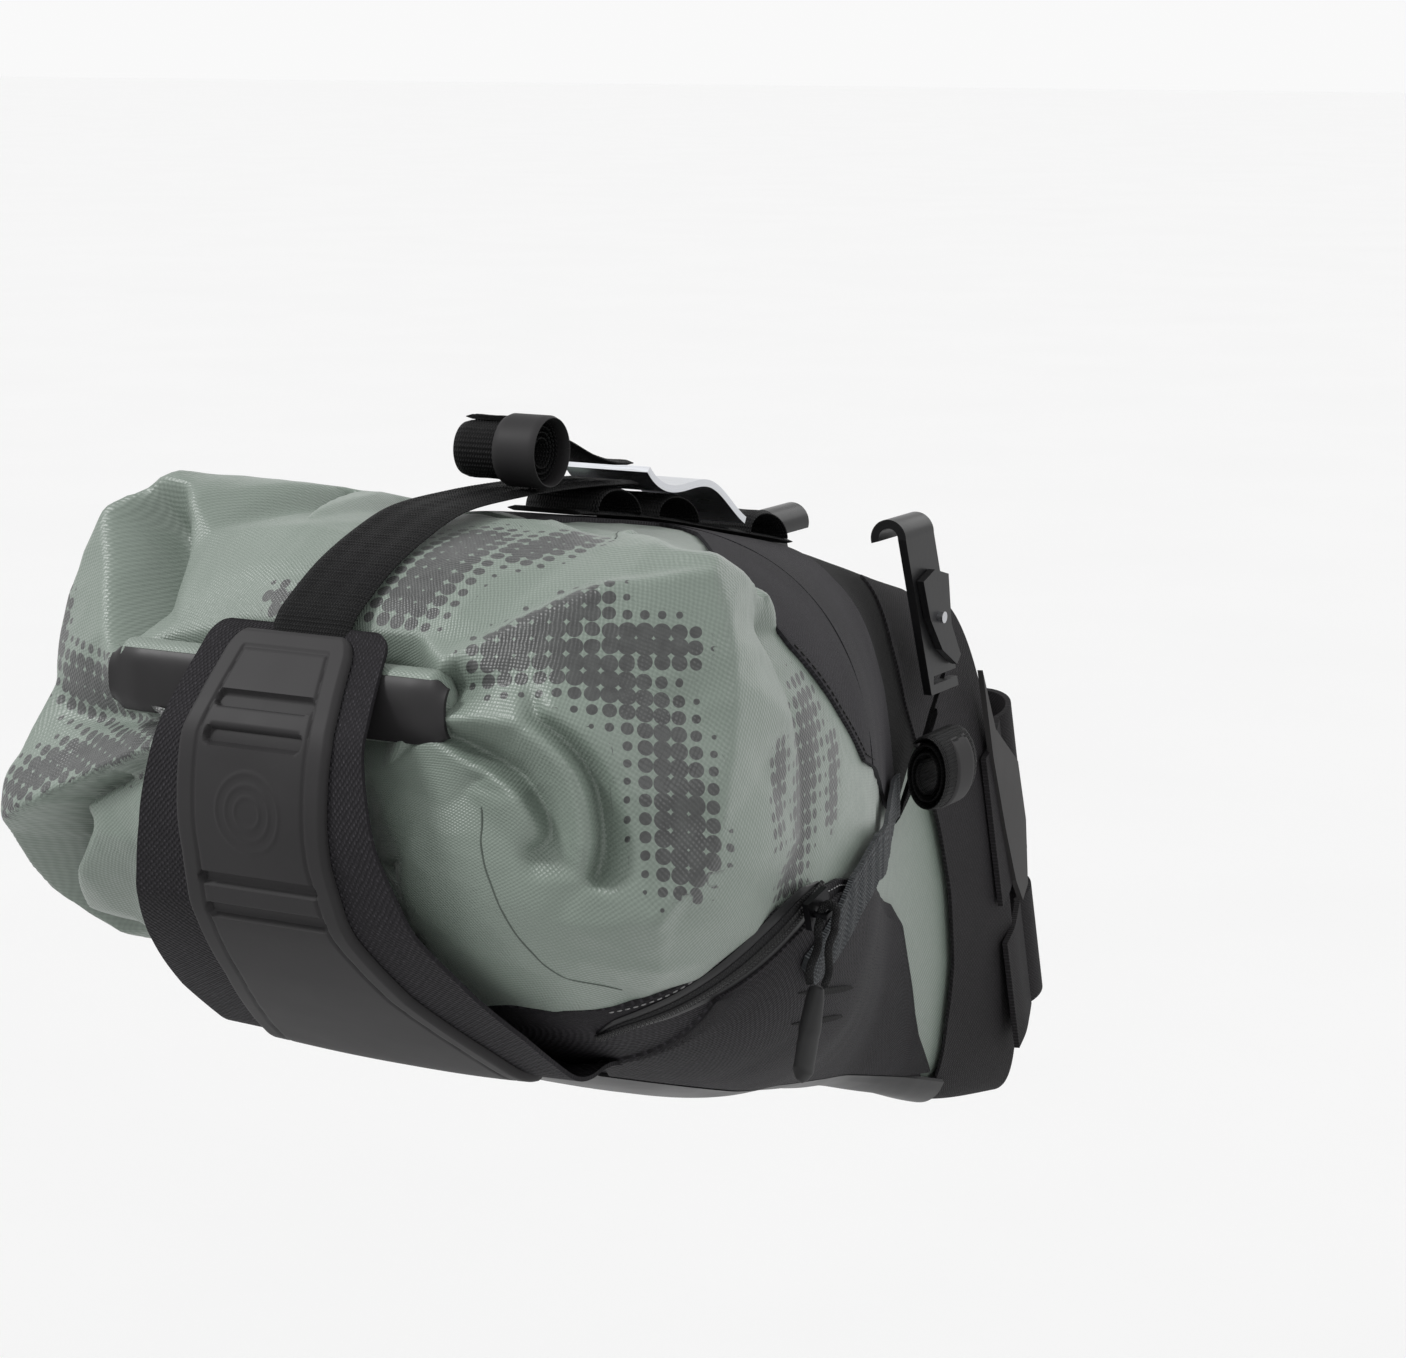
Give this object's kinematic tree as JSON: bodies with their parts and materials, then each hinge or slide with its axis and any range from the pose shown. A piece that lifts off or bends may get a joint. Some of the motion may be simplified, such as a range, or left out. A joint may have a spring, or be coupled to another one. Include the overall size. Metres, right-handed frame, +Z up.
{
  "type": "saddle bag",
  "caption": "Roll-top dry bag in a padded harness that straps round a bicycle seatpost and hooks onto the saddle rails, with a rear compression tongue and a zipped side pocket.",
  "frame": {"origin": "on the seatpost axis, at the middle of the strap collar that clamps the bag to the post", "axes": "+Z up, +Y the direction of travel (the bag reaches back along -Y), +X the right side of the rider; the seatpost axis leans back by 16.5 degrees"},
  "size_m": [0.2253, 0.4969, 0.2959],
  "materials": {
    "green_laminate": "satin",
    "black_laminate": "matt",
    "smooth_guard": "satin",
    "stiffener_plastic": "satin",
    "black_webbing": "ribbed",
    "grey_webbing": "ribbed",
    "pad_rubber": "matt",
    "keeper_rubber": "matt",
    "zip_plastic": "satin",
    "slider_metal": "satin",
    "pull_cord": "braided",
    "hook_aluminium": "satin",
    "hook_plastic": "satin",
    "loop_strap": "brushed"
  },
  "bodies": {
    "holster": {"dry_bag_shell": "green_laminate", "roll_closure": "green_laminate", "closure_stiffener_outer": "stiffener_plastic", "closure_stiffener_inner": "stiffener_plastic", "holster_base": "black_laminate", "bottom_guard": "smooth_guard", "nose_panel": "black_laminate", "nose_stiffener": "stiffener_plastic", "top_collar": "black_laminate", "daisy_chain": "black_webbing", "zip_tape": "smooth_guard", "zip_teeth": "zip_plastic", "right_side_patch": "black_laminate", "right_side_strap": "grey_webbing", "right_hook_webbing": "grey_webbing", "right_rail_strap_coil": "black_webbing", "right_rail_strap_keeper": "keeper_rubber", "left_side_patch": "black_laminate", "left_side_strap": "grey_webbing", "left_hook_webbing": "grey_webbing", "left_rail_strap_coil": "black_webbing", "left_rail_strap_keeper": "keeper_rubber"},
    "rear_tongue": {"tongue_panel": "black_laminate", "tongue_pad": "pad_rubber", "compression_strap": "black_webbing", "strap_coil": "black_webbing", "strap_keeper": "keeper_rubber"},
    "strap_hook": {"top_hook": "hook_aluminium"},
    "right_hook": {"right_rail_hook": "hook_plastic"},
    "left_hook": {"left_rail_hook": "hook_plastic"},
    "right_lever": {"right_hook_lever": "hook_plastic", "right_lever_pin": "hook_aluminium"},
    "left_lever": {"left_hook_lever": "hook_plastic", "left_lever_pin": "hook_aluminium"},
    "pocket_slider": {"zip_slider": "slider_metal"},
    "pocket_pull": {"zip_pull_cord": "pull_cord", "zip_pull_grip": "pad_rubber"},
    "upper_strap": {"upper_post_strap": "loop_strap", "upper_strap_tab": "pad_rubber"},
    "lower_strap": {"lower_post_strap": "loop_strap"}
  },
  "joints": [
    {"name": "tongue_fold", "type": "hinge", "parent": "holster", "child": "rear_tongue", "pos_m": [0, -0.387, 0.011], "axis": [1, 0, 0], "range_deg": [0, 100]},
    {"name": "strap_hook_swing", "type": "hinge", "parent": "rear_tongue", "child": "strap_hook", "pos_m": [0, -0.283, 0.169], "axis": [1, 0, 0], "range_deg": [0, 70]},
    {"name": "right_hook_swing", "type": "hinge", "parent": "holster", "child": "right_hook", "pos_m": [0.0291, -0.103, 0.0775], "axis": [0, 1, 0], "range_deg": [0, 55]},
    {"name": "left_hook_swing", "type": "hinge", "parent": "holster", "child": "left_hook", "pos_m": [-0.0291, -0.103, 0.0775], "axis": [0, -1, 0], "range_deg": [0, 55]},
    {"name": "right_lever_swing", "type": "hinge", "parent": "right_hook", "child": "right_lever", "pos_m": [0.029, -0.115, 0.104], "axis": [1, 0, 0], "range_deg": [0, 40]},
    {"name": "left_lever_swing", "type": "hinge", "parent": "left_hook", "child": "left_lever", "pos_m": [-0.029, -0.115, 0.104], "axis": [1, 0, 0], "range_deg": [0, 40]},
    {"name": "pocket_zip_slide", "type": "slide", "parent": "holster", "child": "pocket_slider", "axis": [-0.1056, -0.9434, -0.3145], "range_m": [0, 0.03]},
    {"name": "zip_pull_swing", "type": "hinge", "parent": "pocket_slider", "child": "pocket_pull", "pos_m": [0.11179, -0.35063, 0.06446], "axis": [-0.1056, -0.9434, -0.3145], "range_deg": [0, 100]},
    {"name": "upper_strap_open", "type": "hinge", "parent": "holster", "child": "upper_strap", "pos_m": [0.0224, -0.03644, -0.01079], "axis": [0, 0.284, -0.9588], "range_deg": [0, 110]},
    {"name": "lower_strap_open", "type": "hinge", "parent": "holster", "child": "lower_strap", "pos_m": [0.0224, -0.03644, -0.01079], "axis": [0, 0.284, -0.9588], "range_deg": [0, 110]}
  ]
}
